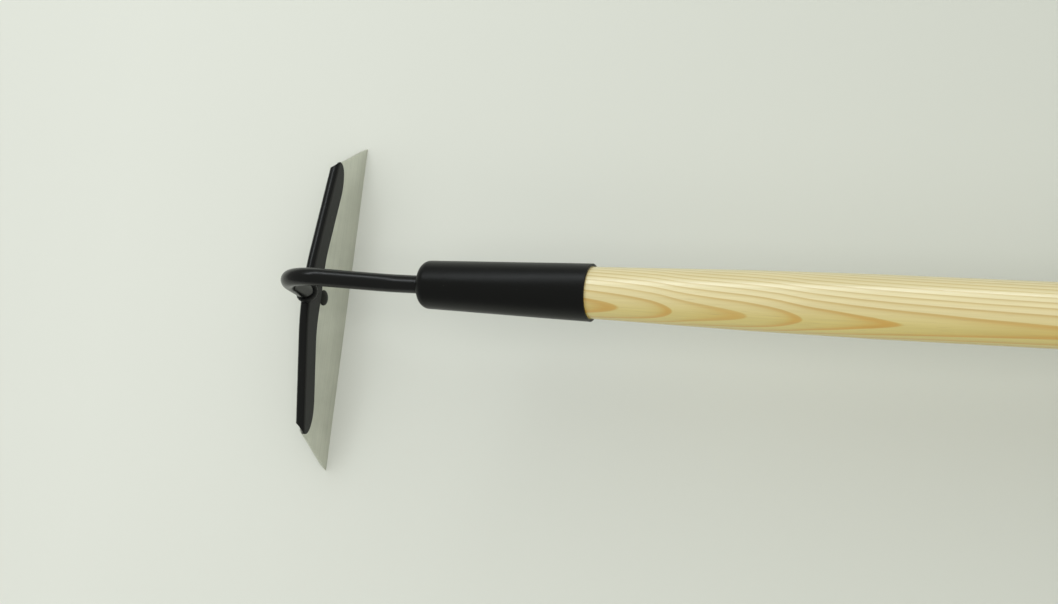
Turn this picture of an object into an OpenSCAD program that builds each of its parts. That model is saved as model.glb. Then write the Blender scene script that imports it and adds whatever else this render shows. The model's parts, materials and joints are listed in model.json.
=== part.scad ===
// Long-handled garden hoe with a trapezoid blade, lying at rest on its cutting edge and its butt.
// All lengths are millimetres. +X runs along the handle towards the butt, +Y across the blade, +Z up.
// The origin is on the floor, under the middle of the hoe's length, in its plane of symmetry.

/* [Handle] */
// Diameter of the wooden handle
handle_d = 30; // [28:0.5:34]
// Length of the handle from the ferrule's mouth to the butt
handle_out = 1440; // [900:10:1700]
// Length of the taper in front of the ferrule's mouth
handle_taper = 108; // [60:1:160]
// Radius of the rounded edge at the butt
butt_round = 8; // [4:0.5:12]

/* [Ferrule] */
// Length of the ferrule from its nose to its mouth
ferrule_len = 88.8; // [70:0.1:96]
// Outer diameter of the ferrule at its mouth
ferrule_mouth_d = 28.2; // [26:0.1:30]
// Outer diameter of the ferrule at its nose
ferrule_nose_d = 23.7; // [21:0.1:26]
// Radius of the rounded edge at the nose
nose_round = 5; // [4:0.5:7]
// Thickness of the ferrule's wall
ferrule_wall = 1.45; // [1:0.05:2]

/* [Neck] */
// Diameter of the steel rod
rod_d = 9; // [8:0.1:9.5]
// Distance from the ferrule's mouth to the start of the rise
rise_start = 101; // [98:1:104]
// Angle by which the rod rises before its bend
rise_angle = 10; // [4:0.5:14]
// Radius of the gentle bend into the rise
rise_r = 65; // [40:1:90]
// Radius of the main bend, at the middle of the rod
bend_r = 19; // [15:0.5:24]
// Outward lean of the rod where it comes down to the blade holder
leg_lean = 5.5; // [0:0.5:8]
// Length of the tang inside the handle
tang_len = 60; // [30:1:65]
// Depth of the tang's axis below the handle's axis
tang_drop = 0.9; // [0:0.1:1.2]

/* [Blade] */
// Length of the cutting edge
edge_len = 177.8; // [150:0.1:200]
// Angle of the blade's slanted ends to the cutting edge
end_angle = 59.5; // [56:0.5:66]
// Thickness of the blade
blade_t = 1.5; // [1.2:0.1:2]
// Width of the ground bevel along the cutting edge
bevel_w = 4; // [2:0.5:6]
// Lean of the blade from square to the handle
blade_lean = 6.3; // [0:0.1:10]
// Distance of the cutting edge in front of the ferrule's mouth
edge_ahead = 162.5; // [160:0.5:166]
// Depth of the cutting edge below the handle's axis
edge_below = 75.9; // [72:0.1:80]

/* [Blade holder] */
// Height of the fold's axis above the cutting edge, in the middle
fold_h = 40.5; // [39:0.1:42]
// Thickness of the folded sheet
sheet_t = 1.9; // [1.2:0.1:2]
// Slope of the holder's arms
arm_slope = 11; // [8:0.5:13]
// Radius of the holder's crown
crown_r = 120; // [90:1:150]
// Depth of the front flange below the fold's axis, in the middle
flange_depth = 9.8; // [8:0.1:10]
// Half-width of the straight middle of the front flange's lower edge
flange_flat = 12.5; // [8:0.5:16]
// Radius of the rounded lower corners of the flanges
corner_r = 5; // [3:0.5:6]

/* [Blade bolt] */
// Diameter of the bolt's shank
bolt_d = 5; // [4:0.1:6]
// Diameter of the bolt's low round head
bolt_head_d = 8.2; // [8:0.1:10]
// Height of the bolt's axis above the cutting edge
bolt_h = 25.5; // [24:0.1:26]

/* [Hidden] */
$fn = 96;
arc_steps = 12;
arc_skip = 0.5;
fit_gap = 0.05;
far = 300;

// Ferrule and the handle's tapered end inside it
handle_r = handle_d / 2;
mouth_r = ferrule_mouth_d / 2;
nose_r = ferrule_nose_d / 2;
rod_r = rod_d / 2;
socket_mouth_r = mouth_r - ferrule_wall;
socket_nose_r = nose_r - ferrule_wall;
nose_plate = 5;
socket_len = ferrule_len - nose_plate;
socket_chamfer = 3;
mouth_relief = 0.1;

// Screw in the ferrule's underside
screw_x = -14;
screw_d = 3.5;
screw_len = 14;
screw_head_d = 6.4;
screw_head_h = 1.8;
screw_sunk = 0.4;
screw_seat = mouth_r + screw_x * (mouth_r - nose_r) / ferrule_len - screw_sunk;

// Blade and holder, drawn with x across, y up the blade from its edge and z out of its front face
edge_half = edge_len / 2;
end_slope = 1 / tan(end_angle);
fold_r = blade_t / 2 + sheet_t;
crown_half = crown_r * sin(arm_slope);
arm_top = fold_h - crown_r * (1 - cos(arm_slope)) + crown_half * tan(arm_slope);
flange_blend_r = 80;
flange_crown_h = fold_h - flange_depth;
flange_blend_half = flange_flat + flange_blend_r * sin(arm_slope);
flange_arm_top = flange_crown_h - flange_blend_r * (1 - cos(arm_slope))
                 + flange_blend_half * tan(arm_slope);
fold_trim = 1;
fold_proud = 0.012;
arm_proud = 0.004;
tongue_r = 8;
edge_land = 0.25;

// Bolt, washer and nut
head_rim = 0.5;
head_h = 1.7;
neck_square = bolt_d;
washer_d = 10;
washer_t = 1;
nut_flats = 8;
nut_h = 4;
bolt_end = 0.7;
back_z = -blade_t - sheet_t;

// Path of the rod's middle in the plane of symmetry, as [x, z] points from the ferrule's mouth
rise_mid = [-rise_start, rise_r - tang_drop];
rise_end = rise_mid + rise_r * [-sin(rise_angle), -cos(rise_angle)];
foot = [-edge_ahead - fold_h * sin(blade_lean) - blade_t / 2 * cos(blade_lean),
        -edge_below + fold_h * cos(blade_lean) - blade_t / 2 * sin(blade_lean)];
rise_side = [-sin(rise_angle), -cos(rise_angle)];
leg_side = [cos(leg_lean), -sin(leg_lean)];
rise_offset = bend_r + rise_end * rise_side;
leg_offset = bend_r + foot * leg_side;
side_det = rise_side[0] * leg_side[1] - rise_side[1] * leg_side[0];
bend_centre = [(rise_offset * leg_side[1] - rise_side[1] * leg_offset) / side_det,
               (rise_side[0] * leg_offset - rise_offset * leg_side[0]) / side_det];
bend_start = bend_centre - bend_r * rise_side;
bend_stop = bend_centre - bend_r * leg_side;
tang_end = -ferrule_len + nose_plate + tang_len;
bend_thinning = 0.02;
run_lap = 0.1;

// Weld beads
spine_bead_r = 1.3;
spine_bead_rise = 1.4;
nose_bead_r = 1.3;
bead_sunk = 0.35;

// Tilt of the handle when the cutting edge and the butt both touch the floor
butt_dx = handle_out - butt_round + edge_ahead;
butt_dz = edge_below - handle_r + butt_round;
rest_tilt = atan2(butt_dz, butt_dx) - asin(butt_round / norm([butt_dx, butt_dz]));
shank_len = blade_t + sheet_t + washer_t + nut_h + bolt_end;
shank_end = [-edge_ahead - bolt_h * sin(blade_lean) - shank_len * cos(blade_lean),
             -edge_below + bolt_h * cos(blade_lean) - shank_len * sin(blade_lean)];
butt_end = [handle_out, handle_r - butt_round];
row_middle = (shank_end + butt_end) / 2 * [cos(rest_tilt), sin(rest_tilt)];
row_drop = edge_ahead * sin(rest_tilt) - edge_below * cos(rest_tilt);

// From the handle's own frame, with its axis along X and the ferrule's mouth at 0, to the rest pose
module at_rest() {
  translate([-row_middle, 0, -row_drop])
    rotate([0, rest_tilt, 0])
      children();
}

// From the blade's own frame, at the middle of its cutting edge, to the rest pose
module on_blade() {
  at_rest()
    translate([-edge_ahead, 0, -edge_below])
      rotate([0, -blade_lean, 0])
        rotate([90, 0, 90])
          children();
}

// Turns a profile of [radius, x] points about the handle's axis
module turned() {
  rotate([0, 90, 0])
    rotate_extrude()
      children();
}

// Straight stretch of rod between two [x, z] points, lapped a little into what follows at each end
module rod_run(from, to, d) {
  run = to - from;
  translate([from[0], 0, from[1]])
    rotate([0, atan2(run[0], run[1]), 0])
      translate([0, 0, -run_lap])
        cylinder(d = d, h = norm(run) + 2 * run_lap);
}

// Bent stretch of rod about a centre in the plane of symmetry
module rod_bend(centre, radius, from, sweep) {
  translate([centre[0], 0, centre[1]])
    rotate([90, 0, 0])
      rotate([0, 0, from])
        rotate_extrude(angle = sweep)
          translate([radius, 0])
            circle(d = rod_d - bend_thinning);
}

// Ring of weld metal about a straight stretch of rod
module bead(at, lean, r) {
  translate([at[0], 0, at[1]])
    rotate([0, lean, 0])
      rotate_extrude()
        translate([rod_r + r * bead_sunk, 0])
          circle(r = r);
}

// Profile of the handle's end inside the ferrule, and the hollow it fills
module socket_profile() {
  polygon([
    [0, -socket_len],
    [socket_nose_r - socket_chamfer, -socket_len],
    [socket_nose_r, -socket_len + socket_chamfer],
    [socket_mouth_r, 0],
    [0, 0]
  ]);
}

// Points along an arc, from one angle to another
function arc(centre, r, from, to) =
  [for (i = [0 : arc_steps])
    let (a = from + (to - from) * i / arc_steps)
      centre + r * [cos(a), sin(a)]];

// A half outline, from the middle outwards, followed by its mirror image
function both_halves(half) =
  concat(half, [for (i = [len(half) - 1 : -1 : 0]) [-half[i][0], half[i][1]]]);

// Flat region under the axis of the fold, which has two sloping arms and a round crown
module below_fold() {
  polygon(both_halves(concat(
    arc([0, fold_h - crown_r], crown_r, 90 - arc_skip, 90 - arm_slope),
    [[edge_half, arm_top - edge_half * tan(arm_slope)], [edge_half, 0]]
  )));
}

// Flat outline between the blade's slanted ends
module between_ends(top) {
  polygon([
    [-edge_half, 0],
    [edge_half, 0],
    [edge_half - top * end_slope, top],
    [-edge_half + top * end_slope, top]
  ]);
}

// Flat outline of a flange, with its lower corner at each end rounded
module flange_outline() {
  corner_x = (edge_half - flange_arm_top * end_slope) / (1 - tan(arm_slope) * end_slope);
  corner_y = flange_arm_top - corner_x * tan(arm_slope);
  half_corner = (end_angle - arm_slope) / 2;
  mid_angle = 180 - arm_slope - half_corner;
  corner_mid = [corner_x, corner_y] + corner_r / sin(half_corner) * [cos(mid_angle), sin(mid_angle)];
  blend_mid = [flange_flat, flange_crown_h - flange_blend_r];
  intersection() {
    below_fold();
    polygon(both_halves(concat(
      arc(blend_mid, flange_blend_r, 90, 90 - arm_slope),
      arc(corner_mid, corner_r, -90 - arm_slope, 90 - end_angle),
      [[edge_half - 2 * fold_h * end_slope, 2 * fold_h]]
    )));
  }
}

// Round bar along the crown of the fold's axis
module crown_bar(r) {
  translate([0, fold_h - crown_r, -blade_t / 2])
    rotate([0, 0, 90 - arm_slope])
      rotate_extrude(angle = 2 * arm_slope, $fn = 360)
        translate([crown_r, 0])
          circle(r = r);
}

// Round bar along the whole of the fold's axis, whose arms lap a little over its crown
module fold_bar(r) {
  crown_bar(r);
  for (side = [1, -1])
    translate([side * crown_half, arm_top - crown_half * tan(arm_slope), -blade_t / 2])
      rotate([0, 90, side > 0 ? -arm_slope : 180 + arm_slope])
        translate([0, 0, -run_lap])
          cylinder(r = r + arm_proud, h = edge_half);
}

// Fold and flanges of the holder
module folded_sheet() {
  difference() {
    union() {
      intersection() {
        fold_bar(fold_r + fold_proud);
        translate([0, -fold_trim / end_slope, -far / 2])
          linear_extrude(far)
            between_ends(2 * fold_h);
      }
      translate([0, 0, back_z])
        linear_extrude(blade_t + 2 * sheet_t)
          flange_outline();
      translate([0, 0, back_z])
        linear_extrude(sheet_t)
          bolt_tongue();
    }
    fold_bar(blade_t / 2 + fold_proud);
    translate([0, 0, -blade_t])
      linear_extrude(blade_t)
        below_fold();
  }
}

// Tongue of the back flange that takes the bolt
module bolt_tongue() {
  translate([0, bolt_h])
    circle(r = tongue_r);
  translate([-tongue_r, bolt_h])
    square([2 * tongue_r, flange_crown_h - bolt_h]);
}

// Whole rod, before its foot is shaped to the fold
module rod() {
  rod_run([tang_end, -tang_drop], [-rise_start, -tang_drop], rod_d);
  rod_bend(rise_mid, rise_r, 270 - rise_angle, rise_angle);
  rod_run(rise_end, bend_start, rod_d);
  rod_bend(bend_centre, bend_r, 90 - rise_angle, 90 + rise_angle - leg_lean);
  rod_run(bend_stop, foot, rod_d);
}

module handle() {
  color("burlywood")
    at_rest()
      difference() {
        turned() {
          socket_profile();
          polygon([
            [0, 0],
            [socket_mouth_r - mouth_relief, 0],
            [handle_r, handle_taper],
            [handle_r, handle_out - butt_round],
            [handle_r - butt_round, handle_out],
            [0, handle_out]
          ]);
          translate([handle_r - butt_round, handle_out - butt_round])
            intersection() {
              circle(r = butt_round);
              square(butt_round);
            }
        }
        rod_run([-ferrule_len, -tang_drop], [tang_end + 1, -tang_drop], rod_d + 2 * fit_gap);
        translate([screw_x, 0, -mouth_r])
          cylinder(d = screw_d + 2 * fit_gap, h = mouth_r - screw_seat + screw_len + 1);
      }
}

module ferrule() {
  color([0.07, 0.07, 0.07])
    at_rest()
      difference() {
        turned()
          difference() {
            union() {
              polygon([
                [0, -ferrule_len],
                [nose_r - nose_round, -ferrule_len],
                [nose_r, -ferrule_len + nose_round],
                [mouth_r, 0],
                [0, 0]
              ]);
              translate([nose_r - nose_round, -ferrule_len + nose_round])
                intersection() {
                  circle(r = nose_round);
                  translate([0, -nose_round])
                    square(nose_round);
                }
            }
            socket_profile();
          }
        rod_run([-far, -tang_drop], [0, -tang_drop], rod_d + 2 * fit_gap);
        translate([screw_x, 0, -mouth_r - screw_head_h])
          cylinder(d = screw_head_d + 2 * fit_gap, h = mouth_r + screw_head_h - screw_seat);
        translate([screw_x, 0, -mouth_r])
          cylinder(d = screw_d + 2 * fit_gap, h = mouth_r);
      }
}

module ferrule_screw() {
  dome_r = (pow(screw_head_d / 2, 2) + pow(screw_head_h, 2)) / (2 * screw_head_h);
  color([0.12, 0.12, 0.12])
    at_rest()
      translate([screw_x, 0, -screw_seat]) {
        cylinder(d = screw_d, h = screw_len);
        intersection() {
          translate([0, 0, dome_r - screw_head_h])
            sphere(r = dome_r);
          translate([0, 0, -screw_head_h])
            cylinder(d = screw_head_d, h = screw_head_h);
        }
      }
}

module neck() {
  color([0.09, 0.09, 0.09])
    difference() {
      at_rest()
        rod();
      on_blade()
        crown_bar(fold_r + fold_proud);
    }
}

module nose_weld() {
  color([0.09, 0.09, 0.09])
    at_rest()
      difference() {
        bead([-ferrule_len, -tang_drop], 90, nose_bead_r);
        rod_run([-far, -tang_drop], [0, -tang_drop], rod_d);
        turned()
          translate([0, -ferrule_len])
            square([nose_r, ferrule_len]);
      }
}

module spine_weld() {
  bead_at = foot + spine_bead_rise * [sin(leg_lean), cos(leg_lean)];
  color([0.09, 0.09, 0.09])
    difference() {
      at_rest()
        bead(bead_at, leg_lean, spine_bead_r);
      at_rest()
        rod_run(bend_stop, foot, rod_d);
      on_blade() {
        crown_bar(fold_r + fold_proud);
        translate([-tongue_r, 0, back_z])
          cube([2 * tongue_r, fold_h, blade_t + 2 * sheet_t]);
      }
    }
}

module blade_holder() {
  color([0.08, 0.08, 0.08])
    on_blade()
      difference() {
        folded_sheet();
        translate([0, bolt_h, back_z])
          cylinder(d = bolt_d + 4 * fit_gap, h = sheet_t);
      }
}

module blade() {
  color([0.72, 0.73, 0.69])
    on_blade()
      difference() {
        translate([0, 0, -blade_t])
          linear_extrude(blade_t)
            intersection() {
              below_fold();
              between_ends(fold_h);
            }
        rotate([90, 0, 90])
          translate([0, 0, -far / 2])
            linear_extrude(far)
              polygon([
                [0, -blade_t],
                [0, -edge_land],
                [bevel_w, -blade_t]
              ]);
        translate([-neck_square / 2 - fit_gap, bolt_h - neck_square / 2 - fit_gap, -blade_t])
          cube([neck_square + 2 * fit_gap, neck_square + 2 * fit_gap, blade_t]);
      }
}

module blade_bolt() {
  dome_h = head_h - head_rim;
  dome_r = (pow(bolt_head_d / 2, 2) + pow(dome_h, 2)) / (2 * dome_h);
  color([0.06, 0.06, 0.06])
    on_blade()
      translate([0, bolt_h, 0]) {
        cylinder(d = bolt_head_d, h = head_rim);
        intersection() {
          translate([0, 0, head_h - dome_r])
            sphere(r = dome_r);
          translate([0, 0, head_rim])
            cylinder(d = bolt_head_d, h = dome_h);
        }
        translate([-neck_square / 2, -neck_square / 2, -blade_t])
          cube([neck_square, neck_square, blade_t]);
        translate([0, 0, -shank_len])
          cylinder(d = bolt_d, h = shank_len);
      }
}

module bolt_washer() {
  color("silver")
    on_blade()
      translate([0, bolt_h, back_z - washer_t])
        difference() {
          cylinder(d = washer_d, h = washer_t);
          cylinder(d = bolt_d + 4 * fit_gap, h = washer_t);
        }
}

module bolt_nut() {
  corner_d = nut_flats / cos(30);
  color("silver")
    on_blade()
      translate([0, bolt_h, back_z - washer_t - nut_h])
        difference() {
          intersection() {
            cylinder(d = corner_d, h = nut_h, $fn = 6);
            cylinder(d1 = nut_flats, d2 = nut_flats + 4 * nut_h, h = nut_h);
          }
          cylinder(d = bolt_d + 2 * fit_gap, h = nut_h);
        }
}

handle();
ferrule();
ferrule_screw();
neck();
nose_weld();
spine_weld();
blade_holder();
blade();
blade_bolt();
bolt_washer();
bolt_nut();
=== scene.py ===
import json
from math import asin, cos, pi, radians, sin, tan

import bmesh
import bpy
from mathutils import Matrix, Vector


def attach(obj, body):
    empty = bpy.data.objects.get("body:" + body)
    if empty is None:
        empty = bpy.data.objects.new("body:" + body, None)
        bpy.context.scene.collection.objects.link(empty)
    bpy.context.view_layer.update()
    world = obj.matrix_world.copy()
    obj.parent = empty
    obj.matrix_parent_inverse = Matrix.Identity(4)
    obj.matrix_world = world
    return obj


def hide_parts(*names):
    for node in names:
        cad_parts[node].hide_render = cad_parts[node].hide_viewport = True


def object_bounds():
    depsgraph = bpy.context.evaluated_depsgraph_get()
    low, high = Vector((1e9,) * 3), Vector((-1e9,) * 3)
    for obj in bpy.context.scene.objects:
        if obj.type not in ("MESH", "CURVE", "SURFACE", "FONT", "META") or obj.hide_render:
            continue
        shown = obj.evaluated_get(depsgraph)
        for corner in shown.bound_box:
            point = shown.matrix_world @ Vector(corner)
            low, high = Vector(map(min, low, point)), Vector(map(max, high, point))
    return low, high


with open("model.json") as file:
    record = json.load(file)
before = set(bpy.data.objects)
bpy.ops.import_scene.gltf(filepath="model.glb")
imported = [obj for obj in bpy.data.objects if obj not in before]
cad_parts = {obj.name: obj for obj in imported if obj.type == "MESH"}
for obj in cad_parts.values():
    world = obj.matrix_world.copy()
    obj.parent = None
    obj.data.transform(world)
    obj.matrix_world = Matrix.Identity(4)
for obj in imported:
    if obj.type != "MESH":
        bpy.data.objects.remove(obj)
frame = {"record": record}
cad_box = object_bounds()

# Handle: a long pole of pale softwood, turned, drawn in where it is driven into the ferrule and rounded at
# its butt. Its growth rings run out of line with its axis, so they come up as pointed arches on the side
# nearer the pith. Its side towards the far light (+Y) is painted paler as painted light, and the other side
# darker and yellower as painted shade. It is sanded smooth and has a clear lacquer.
handle_r = 0.0150
handle_taper = 0.1080
taper_round = 0.0300
butt_round = 0.0080
mouth_relief = 0.0001
socket_len = 0.0838
socket_chamfer = 0.0030
socket_mouth_r = 0.01265
socket_nose_r = 0.0104
fine_steps = 128

shaft = frame["record"]["mounts"][0]
shaft_len = shaft["dims"]["length_mm"] / 1000
along = Vector(shaft["axis"])
across = Vector((0, 1, 0))
mouth = Vector(shaft["pos_m"]) - along * (handle_taper + shaft_len / 2)
handle_out = handle_taper + shaft_len + butt_round
handle_frame = Matrix((along, across, along.cross(across))).transposed().to_4x4()
handle_frame.translation = mouth


def turned(outline, rounded, steps=96):
    """A shape turned about the X axis from (along, radius) points, some of them rounded off."""
    bm = bmesh.new()
    corners = [bm.verts.new((x, 0, r)) for x, r in outline]
    bm.faces.new(corners)
    for corner, radius, segments in rounded:
        bmesh.ops.bevel(bm, geom=[corners[corner]], offset=radius, segments=segments,
                        profile=0.5, affect="VERTICES", material=-1)
    bmesh.ops.delete(bm, geom=bm.faces[:], context="FACES_ONLY")
    on_axis = [e for e in bm.edges if max(v.co.z for v in e.verts) < 1e-7]
    bmesh.ops.delete(bm, geom=on_axis, context="EDGES")
    bmesh.ops.spin(bm, geom=bm.verts[:] + bm.edges[:], cent=(0, 0, 0), axis=(1, 0, 0),
                   angle=2 * pi, steps=steps, use_merge=True)
    return bm


def finished(bm, name, place, finish, sharp=35):
    """The mesh merged, faced outwards, put in its place and made an object with one finish."""
    bmesh.ops.remove_doubles(bm, verts=bm.verts[:], dist=1e-6)
    bmesh.ops.recalc_face_normals(bm, faces=bm.faces[:])
    bmesh.ops.transform(bm, matrix=place, verts=bm.verts[:])
    mesh = bpy.data.meshes.new(name)
    bm.to_mesh(mesh)
    bm.free()
    mesh.shade_smooth()
    mesh.set_sharp_from_angle(angle=radians(sharp))
    mesh.materials.append(finish)
    piece = bpy.data.objects.new(name, mesh)
    bpy.context.scene.collection.objects.link(piece)
    return piece


def node(tree, kind, sockets=None, **settings):
    """A shader node with its settings made, and its sockets set or linked."""
    made = tree.nodes.new("ShaderNode" + kind)
    for name, value in settings.items():
        setattr(made, name, value)
    for name, value in (sockets or {}).items():
        if isinstance(value, bpy.types.NodeSocket):
            tree.links.new(value, made.inputs[name])
        else:
            made.inputs[name].default_value = value
    return made


def sum_of(tree, operation, *values):
    """The result of one Math node."""
    return node(tree, "Math", dict(enumerate(values)), operation=operation).outputs[0]


def blended(tree, factor, first, second, mode="MIX"):
    """Two colours mixed by a factor."""
    mix = node(tree, "Mix", {0: factor, 6: first, 7: second}, data_type="RGBA", blend_type=mode)
    return mix.outputs[2]


def grey(level):
    """A neutral colour."""
    return (level, level, level, 1)


def ramp(tree, factor, stops):
    """A colour ramp with stops of (place, colour)."""
    made = node(tree, "ValToRGB", {0: factor})
    elements = made.color_ramp.elements
    elements[0].position, elements[0].color = stops[0]
    elements[1].position, elements[1].color = stops[-1]
    for place, colour in stops[1:-1]:
        elements.new(place).color = colour
    return made.outputs[0]


def stretched_noise(tree, coords, scale, detail=2.0, roughness=0.5):
    """Noise whose grain has its own scale along each axis."""
    spread = node(tree, "Mapping", {"Vector": coords, "Scale": scale})
    return node(tree, "TexNoise", {"Vector": spread.outputs[0], "Scale": 1.0, "Detail": detail,
                                   "Roughness": roughness}).outputs[0]


def in_frame_of(tree, place):
    """Object coordinates, read in a piece's own frame."""
    coords = node(tree, "TexCoord")
    own = node(tree, "Mapping", {"Vector": coords.outputs["Object"], "Location": place.translation,
                                 "Rotation": place.to_euler()}, vector_type="TEXTURE")
    return own.outputs[0]


ring_width = 0.0023
pith_far = 0.150
pith_angle = radians(42.5)
ring_span = 12
ring_lift = 3
ring_line = [
    (0, -0.8), (0.0305, 0), (0.0515, 1), (0.0905, 2), (0.1165, 3), (0.161, 4), (0.30, 5),
    (0.45, 5.5), (0.66, 5), (0.82, 4), (0.93, 3), (1.05, 2.2), (1.22, 1.8), (1.44, 2.6),
]
ring_bands = [(0.0, 0.0), (0.04, 0.0), (0.38, 0.10), (0.64, 0.45), (0.84, 1.0), (0.955, 0.95), (1.0, 0.1)]
tip_soft = 0.02
tip_draw = 0.5
tip_keep = 0.9
waver_grain = (9, 70, 70)
waver_rings = 0.35
year_spread = 0.2
bark_faint = 0.85
# Painted light and shade: two copies of the wood's ring colours, a darker yellower one for the side away from
# the far light and a paler one for the side towards it.
shaded_side_wood = [
    (0.0, (0.78, 0.625, 0.165, 1)),
    (0.45, (0.75, 0.54, 0.103, 1)),
    (1.0, (0.74, 0.39, 0.016, 1)),
]
lit_side_wood = [
    (0.0, (0.80, 0.685, 0.37, 1)),
    (0.45, (0.72, 0.585, 0.265, 1)),
    (1.0, (0.59, 0.41, 0.12, 1)),
]
lit_side_way = (0, 0.98, 0.19)
lit_side_start = -0.0130
lit_side_full = 0.0030
fibre_grain = (14, 1400, 1400)
fibre_shade = (0.90, 0.885, 0.85, 1)
drift_grain = (11, 90, 90)
drift_shade = (0.95, 0.935, 0.90, 1)
fleck_grain = (70, 2300, 2300)
fleck_brown = (0.42, 0.25, 0.09, 1)
lacquer_rough = 0.40
fibre_rough = 0.16
lacquer_tint = (0.65, 0.88, 1.0, 1)


def lacquered_wood():
    """Softwood with slanting growth rings under a clear lacquer, painted paler on its +Y side and darker on
    the other, as painted light and shade.
    """
    finish = bpy.data.materials.new("lacquered_wood")
    finish.use_nodes = True
    tree = finish.node_tree
    shader = tree.nodes["Principled BSDF"]
    coords = in_frame_of(tree, handle_frame)
    distance = node(tree, "SeparateXYZ", {0: coords}).outputs[0]

    rise = node(tree, "FloatCurve", {1: sum_of(tree, "DIVIDE", distance, handle_out)})
    curve = rise.mapping.curves[0]
    for place, rings in ring_line:
        drawn_in = max(0, 1 - place / handle_taper) * (handle_r - socket_mouth_r + mouth_relief)
        height = (rings - drawn_in / ring_width + ring_lift) / ring_span
        if place in (0, ring_line[-1][0]):
            curve.points[0 if place == 0 else -1].location = (place / handle_out, height)
        else:
            curve.points.new(place / handle_out, height)
    rise.mapping.update()
    cross = node(tree, "VectorMath", {0: coords, 1: (0, 1, 1)}, operation="MULTIPLY").outputs[0]
    pith = (0, -pith_far * sin(pith_angle), pith_far * cos(pith_angle))
    reach = node(tree, "VectorMath", {0: cross, 1: pith}, operation="DISTANCE").outputs["Value"]
    depth = sum_of(tree, "DIVIDE", sum_of(tree, "SUBTRACT", reach, pith_far - handle_r), ring_width)
    point = sum_of(tree, "SQRT", sum_of(tree, "MAXIMUM", sum_of(tree, "ADD", depth, tip_soft), 0.0))
    depth = sum_of(tree, "MULTIPLY_ADD", point, tip_draw, sum_of(tree, "MULTIPLY", depth, tip_keep))
    rings = sum_of(tree, "MULTIPLY_ADD", rise.outputs[0], ring_span, depth)
    waver = stretched_noise(tree, coords, waver_grain)
    rings = sum_of(tree, "MULTIPLY_ADD", sum_of(tree, "SUBTRACT", waver, 0.5), waver_rings, rings)
    share = sum_of(tree, "FRACT", rings)
    count = sum_of(tree, "FLOOR", rings)
    year = node(tree, "TexWhiteNoise", {"W": count}, noise_dimensions="1D").outputs[0]

    bands = ramp(tree, share, [(place, grey(level)) for place, level in ring_bands])
    faint = node(tree, "MapRange", {0: depth, 1: 1.0, 2: 5.0, 3: 1.0, 4: bark_faint}).outputs[0]
    strong = sum_of(tree, "MULTIPLY_ADD", year, year_spread, 1 - year_spread)
    weight = sum_of(tree, "MULTIPLY", sum_of(tree, "MULTIPLY", bands, strong), faint)
    # Painted light and shade: across the handle the colour goes from the shaded-side copy to the lit-side
    # copy, towards +Y.
    towards_light = node(tree, "VectorMath", {0: cross, 1: lit_side_way}, operation="DOT_PRODUCT").outputs["Value"]
    lit_share = node(tree, "MapRange", {0: towards_light, 1: lit_side_start, 2: lit_side_full},
               interpolation_type="SMOOTHSTEP").outputs[0]
    wood = blended(tree, lit_share, ramp(tree, weight, shaded_side_wood), ramp(tree, weight, lit_side_wood))
    fibre = stretched_noise(tree, coords, fibre_grain, 3.0, 0.6)
    fibres = ramp(tree, fibre, [(0.25, fibre_shade), (0.7, grey(1))])
    wood = blended(tree, 1.0, wood, fibres, "MULTIPLY")
    drift = stretched_noise(tree, coords, drift_grain, 2.0)
    patches = ramp(tree, drift, [(0.3, drift_shade), (0.7, grey(1))])
    wood = blended(tree, 1.0, wood, patches, "MULTIPLY")
    fleck = stretched_noise(tree, coords, fleck_grain, 1.0)
    flecks = ramp(tree, fleck, [(0.71, grey(0)), (0.78, grey(0.4))])
    wood = blended(tree, flecks, wood, fleck_brown)

    tree.links.new(wood, shader.inputs["Base Color"])
    dulled = sum_of(tree, "MULTIPLY_ADD", fibre, fibre_rough, lacquer_rough)
    tree.links.new(dulled, shader.inputs["Roughness"])
    shader.inputs["Specular IOR Level"].default_value = 1.0
    shader.inputs["Specular Tint"].default_value = lacquer_tint
    shader.inputs["IOR"].default_value = 1.7
    shader.inputs["Coat Weight"].default_value = 0.8
    shader.inputs["Coat Roughness"].default_value = 0.18
    height = sum_of(tree, "MULTIPLY_ADD", weight, 0.3, fibre)
    bump = node(tree, "Bump", {"Strength": 0.12, "Distance": 0.0003, "Height": height})
    tree.links.new(bump.outputs[0], shader.inputs["Normal"])
    return finish


handle_outline = [
    (-socket_len, 0),
    (-socket_len, socket_nose_r - socket_chamfer),
    (socket_chamfer - socket_len, socket_nose_r),
    (0, socket_mouth_r),
    (0, socket_mouth_r - mouth_relief),
    (handle_taper, handle_r),
    (handle_out, handle_r),
    (handle_out, 0),
]
taper_corner = 5
butt_corner = 6
pole = turned(handle_outline, [(taper_corner, taper_round, 8), (butt_corner, butt_round, 12)], fine_steps)
handle = finished(pole, "handle_pole", handle_frame, lacquered_wood())
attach(handle, "root")
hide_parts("handle")

# Ferrule: a steel tube drawn down to a round nose, pressed over the end of the handle.
# It is welded to the neck and has a satin black powder coat, with a faint orange-peel grain and some dust.
ferrule_len = 0.0888
ferrule_mouth_r = 0.0141
ferrule_nose_r = 0.01185
nose_round = 0.0050
rim_round = 0.0003
coat_black = (0.0042, 0.0044, 0.0040, 1)
coat_dust = (0.085, 0.085, 0.075, 1)
dust_patch_scale = 60.0
dust_speck_scale = 420.0
patch_rough = 0.12


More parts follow.
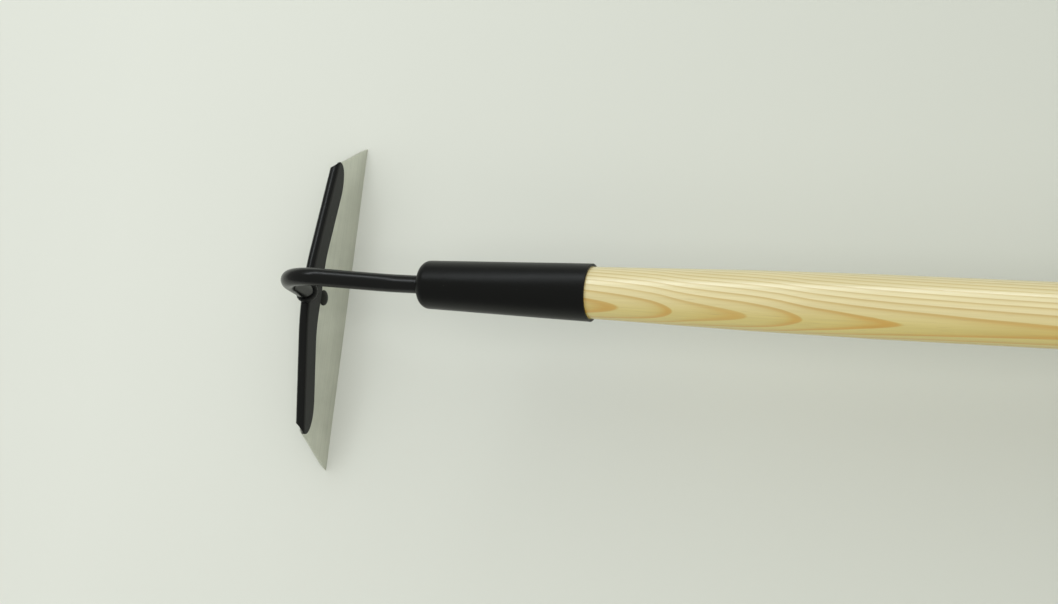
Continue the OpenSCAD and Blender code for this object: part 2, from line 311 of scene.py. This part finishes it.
def coat_grain():
    """Orange peel and dust of a powder coat, as a height, a mask and a roughness."""
    group = bpy.data.node_groups.new("coat_grain", "ShaderNodeTree")
    face = group.interface
    face.new_socket("Peel scale", in_out="INPUT", socket_type="NodeSocketFloat")
    face.new_socket("Dust", in_out="INPUT", socket_type="NodeSocketFloat")
    face.new_socket("Least roughness", in_out="INPUT", socket_type="NodeSocketFloat")
    face.new_socket("Height", in_out="OUTPUT", socket_type="NodeSocketFloat")
    face.new_socket("Dust mask", in_out="OUTPUT", socket_type="NodeSocketFloat")
    face.new_socket("Roughness", in_out="OUTPUT", socket_type="NodeSocketFloat")
    given = group.nodes.new("NodeGroupInput")
    coords = node(group, "TexCoord").outputs["Object"]
    peel = node(group, "TexNoise", {"Vector": coords, "Scale": given.outputs["Peel scale"],
                                    "Detail": 3.0}).outputs[0]
    patches = node(group, "TexNoise", {"Vector": coords, "Scale": dust_patch_scale, "Detail": 3.0}).outputs[0]
    specks = node(group, "TexVoronoi", {"Vector": coords, "Scale": dust_speck_scale}, feature="F1")
    near = node(group, "MapRange", {0: specks.outputs["Distance"], 1: 0.10, 2: 0.03}).outputs[0]
    some = node(group, "MapRange", {0: patches, 1: 0.52, 2: 0.66}).outputs[0]
    mask = sum_of(group, "MULTIPLY", sum_of(group, "MULTIPLY", near, some), given.outputs["Dust"])
    rough = sum_of(group, "MULTIPLY_ADD", patches, patch_rough, given.outputs["Least roughness"])
    given_back = group.nodes.new("NodeGroupOutput")
    group.links.new(peel, given_back.inputs["Height"])
    group.links.new(mask, given_back.inputs["Dust mask"])
    group.links.new(rough, given_back.inputs["Roughness"])
    return group


def coated(name, colour, peel_scale, peel_depth, dust, least_rough, shine):
    """A black coat with its grain."""
    finish = bpy.data.materials.new(name)
    finish.use_nodes = True
    tree = finish.node_tree
    shader = tree.nodes["Principled BSDF"]
    grain = node(tree, "Group", node_tree=coat_grain_group)
    grain.inputs["Peel scale"].default_value = peel_scale
    grain.inputs["Dust"].default_value = dust
    grain.inputs["Least roughness"].default_value = least_rough
    dusty = blended(tree, grain.outputs["Dust mask"], colour, coat_dust)
    tree.links.new(dusty, shader.inputs["Base Color"])
    tree.links.new(grain.outputs["Roughness"], shader.inputs["Roughness"])
    shader.inputs["Specular IOR Level"].default_value = shine
    bump = node(tree, "Bump", {"Strength": 0.25, "Distance": peel_depth,
                               "Height": grain.outputs["Height"]})
    tree.links.new(bump.outputs[0], shader.inputs["Normal"])
    return finish


coat_grain_group = coat_grain()
black_coat = coated("black_coat", coat_black, peel_scale=900.0, peel_depth=0.00012, dust=0.5,
                    least_rough=0.28, shine=0.2)
ferrule_outline = [
    (-ferrule_len, 0),
    (-ferrule_len, ferrule_nose_r),
    (0, ferrule_mouth_r),
    (0, socket_mouth_r),
    (socket_chamfer - socket_len, socket_nose_r),
    (-socket_len, socket_nose_r - socket_chamfer),
    (-socket_len, 0),
]
shell = turned(ferrule_outline, [(1, nose_round, 12), (2, rim_round, 4), (3, rim_round, 4)], fine_steps)
ferrule = finished(shell, "ferrule_shell", handle_frame, black_coat)
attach(ferrule, "root")
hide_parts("ferrule")

# Ferrule screw: a small round-head wood screw with a cross recess, driven up through the ferrule's
# underside into the handle. It is steel, blackened.
screw_ahead = 0.0140
screw_r = 0.00175
screw_len = 0.0140
screw_point_r = 0.0004
screw_point_len = 0.0030
screw_head_r = 0.0032
screw_head_h = 0.0018
screw_head_round = 0.0014
screw_sunk = 0.0004
recess_half = 0.00045
recess_reach = 0.0019
recess_deep = 0.0010
screw_black = (0.009, 0.009, 0.007, 1)
black_screw = coated("black_screw", screw_black, peel_scale=1500.0, peel_depth=0.0001, dust=0.2,
                     least_rough=0.42, shine=0.2)

screw_outline = [
    (-screw_len, 0),
    (-screw_len, screw_point_r),
    (-screw_len + screw_point_len, screw_r),
    (0, screw_r),
    (0, screw_head_r),
    (screw_head_h, screw_head_r),
    (screw_head_h, 0),
]
screw = turned(screw_outline, [(5, screw_head_round, 8)], 48)
bmesh.ops.remove_doubles(screw, verts=screw.verts[:], dist=1e-7)
for side in (1, -1):
    for direction in (Vector((0, 1, 0)), Vector((0, 0, 1))):
        for reach in (recess_half, recess_reach):
            whole = screw.verts[:] + screw.edges[:] + screw.faces[:]
            bmesh.ops.bisect_plane(screw, geom=whole, dist=1e-8, plane_co=side * reach * direction,
                                   plane_no=direction)


def in_recess(face):
    """Whether a face of the screw's head lies in the cross recess."""
    middle = face.calc_center_median()
    near = min(abs(middle.y), abs(middle.z))
    far = max(abs(middle.y), abs(middle.z))
    return middle.x > screw_head_h / 2 and near < recess_half and far < recess_reach


sunk = bmesh.ops.extrude_face_region(screw, geom=[f for f in screw.faces if in_recess(f)])
for vert in sunk["geom"]:
    if isinstance(vert, bmesh.types.BMVert):
        vert.co.x -= recess_deep
seat_r = ferrule_mouth_r - screw_ahead * (ferrule_mouth_r - ferrule_nose_r) / ferrule_len - screw_sunk
downwards = Matrix.Translation((-screw_ahead, 0, -seat_r)) @ Matrix.Rotation(pi / 2, 4, "Y")
ferrule_screw = finished(screw, "screw_body", handle_frame @ downwards, black_screw)
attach(ferrule_screw, "root")
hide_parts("ferrule_screw")

# Neck: a round steel rod, bent cold. Its tang is driven into the end of the handle. Outside the ferrule it
# rises a little, hooks over and comes down on the blade holder. It has a black coat, smoother than the
# ferrule's.
rod_r = 0.0045
rod_sides = 56
tang_start = -0.0238
tang_drop = 0.0009
rise_start = 0.1010
rise_angle = radians(10)
rise_r = 0.0650
bend_r = 0.0190
leg_lean = radians(5.5)
blade_lean = radians(6.3)
edge_ahead = 0.1625
edge_below = 0.0759
fold_h = 0.0405
blade_t = 0.0015

blade_frame = (handle_frame @ Matrix.Translation((-edge_ahead, 0, -edge_below))
               @ Matrix.Rotation(-blade_lean, 4, "Y")
               @ Matrix(((0, 0, 1, 0), (1, 0, 0, 0), (0, 1, 0, 0), (0, 0, 0, 1))))
foot = handle_frame.inverted() @ blade_frame @ Vector((0, fold_h, -blade_t / 2))
rise_centre = Vector((-rise_start, 0, rise_r - tang_drop))
rise_side = Vector((-sin(rise_angle), 0, -cos(rise_angle)))
rise_end = rise_centre + rise_r * rise_side
leg_side = Vector((cos(leg_lean), 0, -sin(leg_lean)))
leg_way = Vector((-sin(leg_lean), 0, -cos(leg_lean)))
both = Matrix(((rise_side.x, rise_side.z), (leg_side.x, leg_side.z))).inverted()
offsets = both @ Vector((bend_r + rise_end.dot(rise_side), bend_r + foot.dot(leg_side)))
bend_centre = Vector((offsets.x, 0, offsets.y))
bend_start = bend_centre - bend_r * rise_side
bend_stop = bend_centre - bend_r * leg_side


def run_to(bm, ring, step):
    """The rod's end ring drawn out straight."""
    drawn = bmesh.ops.extrude_edge_only(bm, edges=ring)["geom"]
    bmesh.ops.translate(bm, vec=step, verts=[v for v in drawn if isinstance(v, bmesh.types.BMVert)])
    return [e for e in drawn if isinstance(e, bmesh.types.BMEdge)]


def bend_round(bm, ring, centre, angle, steps):
    """The rod's end ring bent about a centre in the plane of symmetry."""
    verts = list({v for e in ring for v in e.verts})
    bent = bmesh.ops.spin(bm, geom=verts + ring, cent=centre, axis=(0, 1, 0), angle=angle, steps=steps)
    return [e for e in bent["geom_last"] if isinstance(e, bmesh.types.BMEdge)]


smooth_coat = coated("smooth_coat", coat_black, peel_scale=900.0, peel_depth=0.00006, dust=0.5,
                     least_rough=0.19, shine=0.31)
rod = bmesh.new()
start = Matrix.Translation((tang_start, 0, -tang_drop)) @ Matrix.Rotation(pi / 2, 4, "Y")
bmesh.ops.create_circle(rod, cap_ends=False, segments=rod_sides, radius=rod_r, matrix=start)
ring = rod.edges[:]
bmesh.ops.edgeloop_fill(rod, edges=ring)
ring = run_to(rod, ring, Vector((-rise_start - tang_start, 0, 0)))
ring = bend_round(rod, ring, rise_centre, rise_angle, 8)
ring = run_to(rod, ring, bend_start - rise_end)
ring = bend_round(rod, ring, bend_centre, -(pi / 2 + rise_angle - leg_lean), 32)
ring = run_to(rod, ring, foot - bend_stop)
bmesh.ops.edgeloop_fill(rod, edges=ring)
neck = finished(rod, "neck_rod", handle_frame, smooth_coat)
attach(neck, "root")
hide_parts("neck")

# Nose weld: the bead that closes the ferrule's nose round the rod. It was laid in one turn, so it has
# small even ripples, and it lies under the same black coat.
nose_bead_r = 0.0013
nose_ripples = 26
bead_sunk = 0.35
bead_drift = 0.5
ripple_share = 0.10
saddle_level = 0.36


def bead_ring(tube_r, ripples, height=1.0, saddle=0.0, tuck=0.0):
    """A ring of weld metal about the X axis, with the ripples that its drops left. A saddle bends it
    over a ridge along Y, and a tuck draws it in under the rod there."""
    bm = bmesh.new()
    ring_r = rod_r + bead_sunk * tube_r
    middle = Matrix.Translation((0, 0, ring_r)) @ Matrix.Rotation(pi / 2, 4, "X")
    bmesh.ops.create_circle(bm, cap_ends=False, segments=20, radius=tube_r, matrix=middle)
    bmesh.ops.spin(bm, geom=bm.verts[:] + bm.edges[:], cent=(0, 0, 0), axis=(1, 0, 0),
                   angle=2 * pi, steps=144, use_merge=True)
    for vert in bm.verts:
        outward = Vector((0, vert.co.y, vert.co.z)).normalized()
        turn = outward.angle(Vector((0, 0, 1))) * (1 if outward.y > 0 else -1)
        offset = vert.co - ring_r * outward
        drop = abs(sin(turn * ripples / 2 + offset.x / tube_r))
        drift = bead_drift * sin(3 * turn + 1)
        offset.x *= height
        facing = outward.z ** 2
        swell = 1 - ripple_share + ripple_share * (drop + drift)
        vert.co = ring_r * (1 - tuck * facing) * outward + offset * swell
        vert.co.x += saddle * (saddle_level - facing)
    return bm


nose_place = handle_frame @ Matrix.Translation((-ferrule_len, 0, -tang_drop))
nose_weld = finished(bead_ring(nose_bead_r, nose_ripples), "nose_bead", nose_place, black_coat, 60)
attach(nose_weld, "root")
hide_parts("nose_weld")

# Blade holder: a strip of sheet steel, folded double over the top of the blade, with a crowned middle
# and two arms that slope down. Its back half has a tongue for the bolt. It is black coated all over.
sheet_t = 0.0019
arm_slope = radians(11)
crown_r = 0.1200
end_angle = radians(59.5)
edge_half = 0.0889
flange_depth = 0.0098
flange_flat = 0.0125
flange_blend_r = 0.0800
end_front = 0.0744
fold_ends = ((0.0734, 0.0018), (0.0725, 0.0030))
end_slant = 0.0023
curve_run = 0.0185
curve_share = 96
fold_square = 0.8
tongue_half = 0.0088
tongue_depth = 0.0212
tongue_round = 0.98 * tongue_half
tongue_fillet = 0.0030
sheet_edge = 0.00035

fold_mid_r = (blade_t + sheet_t) / 2
half_arc = pi / 2 * fold_mid_r
crown_half = crown_r * sin(arm_slope)
arm_top = fold_h - crown_r * (1 - cos(arm_slope)) + crown_half * tan(arm_slope)
flange_blend = flange_flat + flange_blend_r * sin(arm_slope)
flange_drop = flange_depth + flange_blend_r * (1 - cos(arm_slope)) - flange_blend * tan(arm_slope)
arm_depth = (flange_drop - fold_h + arm_top) * cos(arm_slope)
fold_end_x = (edge_half - arm_top / tan(end_angle)) / (1 - tan(arm_slope) / tan(end_angle))
lower_edge = half_arc + arm_depth
tongue_end = half_arc + tongue_depth


def arm_outline(fold_end, rake):
    """One half of the blank, from its front edge over the slanted end of the fold to the tongue."""
    cut = []
    for i in range(6, -7, -1):
        turn = pi / 12 * i
        end = fold_end + rake * sin(turn) - end_slant * cos(turn)
        cut.append((min(end_front, end), fold_mid_r * turn))
    end_back = cut[-1][0]
    return [(end_front - curve_run, lower_edge), (end_front, lower_edge)] + cut + [
        (end_back, -lower_edge), (end_back - curve_run, -lower_edge),
        (tongue_half, -lower_edge), (tongue_half, -tongue_end)]


left_half, right_half = [arm_outline(fold_end, rake) for fold_end, rake in fold_ends]
blank = bmesh.new()
corners = [blank.verts.new((s, t, 0)) for s, t in left_half]
corners += [blank.verts.new((-s, t, 0)) for s, t in reversed(right_half)]
blank.faces.new(corners)
tongue = len(left_half) - 1
for places, kind, offset in (((1, tongue - 3), "PERCENT", curve_share),
                             ((tongue,), "OFFSET", tongue_round),
                             ((tongue - 1,), "OFFSET", tongue_fillet)):
    both_sides = [corners[i] for place in places for i in (place, -1 - place)]
    bmesh.ops.bevel(blank, geom=both_sides, offset=offset, offset_type=kind, segments=14,
                    profile=0.5, affect="VERTICES", material=-1)
folds = [half_arc * i / 8 for i in range(-8, 9)]
rows = [side * (half_arc + arm_depth * share) for side in (1, -1) for share in (0.35, 0.7)]
columns = [flange_blend * i / 14 for i in range(-14, 15)]
for place, direction in ([(Vector((0, t, 0)), (0, 1, 0)) for t in folds + rows]
                         + [(Vector((s, 0, 0)), (1, 0, 0)) for s in columns]):
    bmesh.ops.bisect_plane(blank, geom=blank.verts[:] + blank.edges[:] + blank.faces[:], dist=1e-7,
                           plane_co=place, plane_no=direction)
for vert in blank.verts:
    side = 1 if vert.co.x >= 0 else -1
    turn = min(abs(vert.co.x) / crown_r, arm_slope)
    rest = abs(vert.co.x) - crown_r * turn
    top = Vector((side * (crown_r * sin(turn) + rest * cos(turn)),
                  fold_h - crown_r * (1 - cos(turn)) - rest * sin(turn), -blade_t / 2))
    down = Vector((-side * sin(turn), -cos(turn), 0))
    front = 1 if vert.co.y >= 0 else -1
    wrap = min(abs(vert.co.y), half_arc) / fold_mid_r
    depth = max(0, abs(vert.co.y) - half_arc)
    near_middle = 1 - min(1, abs(vert.co.x) / flange_blend)
    ease = near_middle * near_middle * (3 - 2 * near_middle)
    depth += (flange_depth - arm_depth) * ease * min(1, depth / arm_depth)
    outwards = Vector((0, 0, front * sin(wrap) ** fold_square))
    over = fold_mid_r * (outwards - max(0, cos(wrap)) ** fold_square * down)
    vert.co = top + over + depth * down
holder = finished(blank, "holder_sheet", blade_frame, smooth_coat, 80)
thick = holder.modifiers.new("sheet", "SOLIDIFY")
thick.thickness = sheet_t
thick.offset = 0
thick.use_even_offset = True
edges = holder.modifiers.new("edges", "BEVEL")
edges.width = sheet_edge
edges.segments = 3
edges.limit_method = "ANGLE"
edges.angle_limit = radians(50)
even = holder.modifiers.new("even", "WEIGHTED_NORMAL")
even.keep_sharp = False
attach(holder, "root")
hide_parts("blade_holder")

# Spine weld: the bead round the rod's foot, where it stands on the crown of the holder. It is weld metal
# under the black coat, heavier than the nose weld, and carries the pull of the blade.
spine_bead_r = 0.0013
spine_bead_height = 1.8
spine_bead_rise = 0.0021
spine_ripples = 22
spine_saddle = 0.0025
spine_tuck = 0.08
leg_foot = Matrix.Translation(foot - spine_bead_rise * leg_way)
spine_place = handle_frame @ (leg_foot @ Matrix.Rotation(leg_lean - pi / 2, 4, "Y"))
spine_ring = bead_ring(spine_bead_r, spine_ripples, spine_bead_height, spine_saddle, spine_tuck)
spine_weld = finished(spine_ring, "spine_bead", spine_place, black_coat, 60)
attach(spine_weld, "root")
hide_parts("spine_weld")

# Blade: a flat plate of bright spring steel, cut to a trapezoid and ground to a bevel along the back of
# its long lower edge. Its faces keep the fine lines of the rolling, and a thin film of oil.
bevel_w = 0.0040
edge_land = 0.00025
cut_edge = 0.00012
steel_grey = (0.705, 0.715, 0.635, 1)
steel_dull = (0.625, 0.635, 0.56, 1)
smear_scale = 45.0
smear_rough = 0.12
line_rough = 0.10
line_shade = 0.93


def metal_lines():
    """Fine lines and smears of worked metal, as two masks."""
    group = bpy.data.node_groups.new("metal_lines", "ShaderNodeTree")
    face = group.interface
    face.new_socket("Line scale", in_out="INPUT", socket_type="NodeSocketVector")
    face.new_socket("Lines", in_out="OUTPUT", socket_type="NodeSocketFloat")
    face.new_socket("Smears", in_out="OUTPUT", socket_type="NodeSocketFloat")
    given = group.nodes.new("NodeGroupInput")
    coords = node(group, "TexCoord").outputs["Object"]
    spread = node(group, "VectorMath", {0: coords, 1: given.outputs["Line scale"]}, operation="MULTIPLY")
    lines = node(group, "TexNoise", {"Vector": spread.outputs[0], "Scale": 1.0, "Detail": 4.0})
    smears = node(group, "TexNoise", {"Vector": coords, "Scale": smear_scale, "Detail": 4.0,
                                      "Roughness": 0.6})
    given_back = group.nodes.new("NodeGroupOutput")
    group.links.new(lines.outputs[0], given_back.inputs["Lines"])
    group.links.new(smears.outputs[0], given_back.inputs["Smears"])
    return group


def bare_metal(name, bright, dull, line_scale, rough, line_depth):
    """A metal finish with its lines and smears."""
    finish = bpy.data.materials.new(name)
    finish.use_nodes = True
    tree = finish.node_tree
    shader = tree.nodes["Principled BSDF"]
    marks = node(tree, "Group", node_tree=metal_lines_group)
    marks.inputs["Line scale"].default_value = line_scale
    lines = marks.outputs["Lines"]
    smears = marks.outputs["Smears"]
    stained = node(tree, "MapRange", {0: smears, 1: 0.32, 2: 0.68}).outputs[0]
    fine = ramp(tree, lines, [(0.35, grey(line_shade)), (0.6, grey(1))])
    metal = blended(tree, 1.0, blended(tree, stained, bright, dull), fine, "MULTIPLY")
    tree.links.new(metal, shader.inputs["Base Color"])
    shader.inputs["Metallic"].default_value = 1.0
    uneven = sum_of(tree, "MULTIPLY_ADD", smears, smear_rough, rough - smear_rough / 2)
    uneven = sum_of(tree, "MULTIPLY_ADD", lines, line_rough, uneven)
    tree.links.new(uneven, shader.inputs["Roughness"])
    bump = node(tree, "Bump", {"Strength": 0.2, "Distance": line_depth, "Height": lines})
    tree.links.new(bump.outputs[0], shader.inputs["Normal"])
    return finish


metal_lines_group = metal_lines()
blade_steel = bare_metal("blade_steel", steel_grey, steel_dull, line_scale=(900, 16, 900), rough=0.40,
                         line_depth=0.00006)
plate = bmesh.new()
top_y = fold_h - crown_r * (1 - cos(arm_slope))
end_y = arm_top - fold_end_x * tan(arm_slope)
plate_outline = [(-edge_half, 0), (edge_half, 0), (fold_end_x, end_y), (crown_half, top_y),
                 (-crown_half, top_y), (-fold_end_x, end_y)]
front = plate.faces.new([plate.verts.new((x, y, 0)) for x, y in plate_outline])
pushed = bmesh.ops.extrude_face_region(plate, geom=[front])["geom"]
back_verts = [v for v in pushed if isinstance(v, bmesh.types.BMVert)]
bmesh.ops.translate(plate, vec=(0, 0, -blade_t), verts=back_verts)
bmesh.ops.bisect_plane(plate, geom=plate.verts[:] + plate.edges[:] + plate.faces[:], dist=1e-7,
                       plane_co=(0, bevel_w, 0), plane_no=(0, 1, 0))
for vert in plate.verts:
    if vert.co.y < bevel_w / 2 and vert.co.z < -blade_t / 2:
        vert.co.z = -edge_land
blade = finished(plate, "blade_plate", blade_frame, blade_steel, 20)
worn = blade.modifiers.new("edges", "BEVEL")
worn.width = cut_edge
worn.segments = 2
worn.limit_method = "ANGLE"
worn.angle_limit = radians(12)
even = blade.modifiers.new("even", "WEIGHTED_NORMAL")
even.keep_sharp = False
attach(blade, "root")
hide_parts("blade")

# Blade bolt: a steel bolt with a low domed head on the front of the blade and a threaded end behind. It
# goes through the blade and the holder's tongue, and has a rough black finish.
bolt_h = 0.0255
bolt_r = 0.0025
bolt_head_r = 0.0041
head_h = 0.0017
head_rim = 0.0005
head_edge = 0.0003
dome_steps = 10
thread_pitch = 0.0008
thread_deep = 0.00025
washer_t = 0.0010
nut_h = 0.0040
bolt_end = 0.0007
shank_len = blade_t + sheet_t + washer_t + nut_h + bolt_end

turns = int((nut_h + bolt_end) / thread_pitch)
thread = []
for i in range(turns):
    thread.append((-shank_len + (i + 0.5) * thread_pitch, bolt_r - thread_deep))
    thread.append((-shank_len + (i + 1) * thread_pitch, bolt_r))
dome_h = head_h - head_rim
dome_r = (bolt_head_r ** 2 + dome_h ** 2) / (2 * dome_h)
dome_turn = asin(bolt_head_r / dome_r)
dome = []
for i in range(dome_steps, -1, -1):
    turn = dome_turn * i / dome_steps
    dome.append((head_h - dome_r * (1 - cos(turn)), dome_r * sin(turn)))
bolt_outline = [(-shank_len, 0), (-shank_len, bolt_r - thread_deep)] + thread
bolt_outline += [(0, bolt_r), (0, bolt_head_r)]
head_corner = len(bolt_outline)
bolt = turned(bolt_outline + dome, [(head_corner, head_edge, 4)], 64)
bolt_place = blade_frame @ Matrix.Translation((0, bolt_h, 0)) @ Matrix.Rotation(-pi / 2, 4, "Y")
blade_bolt = finished(bolt, "bolt_body", bolt_place, black_screw)
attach(blade_bolt, "root")
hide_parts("blade_bolt")

# Bolt washer: a plain steel ring behind the holder's tongue, under the nut. It is pressed from sheet, so
# its outer edges are a little rounded, and it is zinc plated.
washer_r = 0.0050
washer_hole_r = 0.0026
washer_edge = 0.00025
zinc_bright = (0.62, 0.63, 0.64, 1)
zinc_dull = (0.47, 0.475, 0.46, 1)
zinc = bare_metal("zinc", zinc_bright, zinc_dull, line_scale=(700, 700, 700), rough=0.34,
                  line_depth=0.00004)

back = -blade_t - sheet_t
washer_outline = [
    (back - washer_t, washer_hole_r),
    (back - washer_t, washer_r),
    (back, washer_r),
    (back, washer_hole_r),
]
washer = turned(washer_outline, [(1, washer_edge, 4), (2, washer_edge, 4)], 64)
bolt_washer = finished(washer, "washer_ring", bolt_place, zinc)
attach(bolt_washer, "root")
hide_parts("bolt_washer")

# Bolt nut: a hexagon nut drawn up against the washer, zinc plated like it, with its outer corners
# chamfered on the lathe.
nut_flat_half = 0.0040
chamfer_cuts = 36
chamfer_slope = radians(30)
chamfer_r = 0.97 * nut_flat_half

nut = bmesh.new()
bmesh.ops.create_circle(nut, cap_ends=True, segments=6, radius=nut_flat_half / cos(pi / 6))
raised = bmesh.ops.extrude_face_region(nut, geom=nut.faces[:])["geom"]
raised_verts = [v for v in raised if isinstance(v, bmesh.types.BMVert)]
bmesh.ops.translate(nut, vec=(0, 0, nut_h), verts=raised_verts)
for i in range(chamfer_cuts):
    turn = 2 * pi * (i + 0.5) / chamfer_cuts
    outward = Vector((cos(turn), sin(turn), 0))
    bmesh.ops.bisect_plane(nut, geom=nut.verts[:] + nut.edges[:] + nut.faces[:], dist=1e-8,
                           clear_outer=True, plane_co=outward * chamfer_r + Vector((0, 0, nut_h)),
                           plane_no=outward * sin(chamfer_slope) + Vector((0, 0, cos(chamfer_slope))))
    bmesh.ops.holes_fill(nut, edges=nut.edges[:])
nut_place = blade_frame @ Matrix.Translation((0, bolt_h, back - washer_t)) @ Matrix.Rotation(pi, 4, "X")
bolt_nut = finished(nut, "nut_hex", nut_place, zinc, 20)
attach(bolt_nut, "root")
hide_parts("bolt_nut")

# Floor: a pale painted board under the hoe, with a matt surface that takes soft shadows. Towards the butt its
# colour is darker: painted shade that stands in for light falling off away from the head.
floor_r = 9.0
floor_pale = (0.705, 0.721, 0.670, 1)
floor_shaded = (0.525, 0.542, 0.492, 1)
shade_start = -0.95
shade_full = -0.25
board = bmesh.new()
bmesh.ops.create_circle(board, cap_ends=True, segments=96, radius=floor_r)
matt = bpy.data.materials.new("matt_board")
matt.use_nodes = True
tree = matt.node_tree
matt_shader = tree.nodes["Principled BSDF"]
floor_along = node(tree, "SeparateXYZ", {0: node(tree, "TexCoord").outputs["Object"]}).outputs[0]
# Painted shade: the board's colour goes from floor_pale to floor_shaded between shade_start and shade_full
# along X.
painted_shade_share = node(tree, "MapRange", {0: floor_along, 1: shade_start, 2: shade_full}).outputs[0]
tree.links.new(blended(tree, painted_shade_share, floor_pale, floor_shaded), matt_shader.inputs["Base Color"])
matt_shader.inputs["Roughness"].default_value = 0.75
matt_shader.inputs["Specular IOR Level"].default_value = 0.2
floor = finished(board, "floor", Matrix.Translation((0, 0, cad_box[0].z)), matt)

# Light: a dim pale room with a wide soft light overhead and a smaller one behind the camera. A long cool one
# on the far side is what the coat and the lacquer reflect.
room = bpy.data.worlds.new("room")
room.use_nodes = True
walls = room.node_tree.nodes["Background"]
walls.inputs["Color"].default_value = (0.98, 1.0, 0.96, 1)
walls.inputs["Strength"].default_value = 0.34
bpy.context.scene.world = room
head_middle = Vector((-0.66, 0, 0.06))


def soft_light(name, place, long_way, size, power, colour):
    """A soft light at a place, aimed at the hoe's head, with its long side one way."""
    lamp = bpy.data.lights.new(name, "AREA")
    lamp.shape = "RECTANGLE"
    lamp.size, lamp.size_y = size
    lamp.energy = power
    lamp.color = colour
    back = (Vector(place) - head_middle).normalized()
    level = back.cross(Vector(long_way).cross(back)).normalized()
    frame_of_lamp = Matrix((level, back.cross(level), back)).transposed().to_4x4()
    hung = bpy.data.objects.new(name, lamp)
    hung.matrix_world = Matrix.Translation(place) @ frame_of_lamp
    hung.visible_camera = False
    bpy.context.scene.collection.objects.link(hung)
    return hung


soft_light("far_light", place=(-1.12, 1.30, 1.42), long_way=(0.62, 0.58, -0.43), size=(1.9, 0.40),
           power=9.8, colour=(0.92, 0.98, 1.0))
overhead = soft_light("overhead", place=(0.0, 2.0, 12.0), long_way=(1, 0, 0), size=(40.0, 40.0),
                      power=2600, colour=(1.0, 1.0, 0.95))
near_light = soft_light("near_light", place=(0.0, -0.33, 2.07), long_way=(1, 0, 0), size=(1.05, 1.05),
                        power=12.0, colour=(1.0, 0.99, 0.95))
overhead.visible_glossy = False
near_light.visible_glossy = False

# Camera: above the hoe's head and a little to its right, looking down and to the left, as in the
# photograph, with the handle running out of the right edge.
camera_at = Vector((-0.291922, -0.18092, 0.983829))
camera_way = Vector((-0.370724, 0.174657, -0.912178))
camera_up = Vector((-0.040423, 0.978198, 0.203725))
lens = bpy.data.cameras.new("camera")
lens.lens = 70.21
lens.sensor_width = 36
camera = bpy.data.objects.new("camera", lens)
turn = Matrix((camera_way.cross(camera_up), camera_up, -camera_way)).transposed().to_4x4()
camera.matrix_world = Matrix.Translation(camera_at) @ turn
bpy.context.scene.collection.objects.link(camera)
bpy.context.scene.camera = camera
bpy.context.scene.view_settings.view_transform = "Standard"
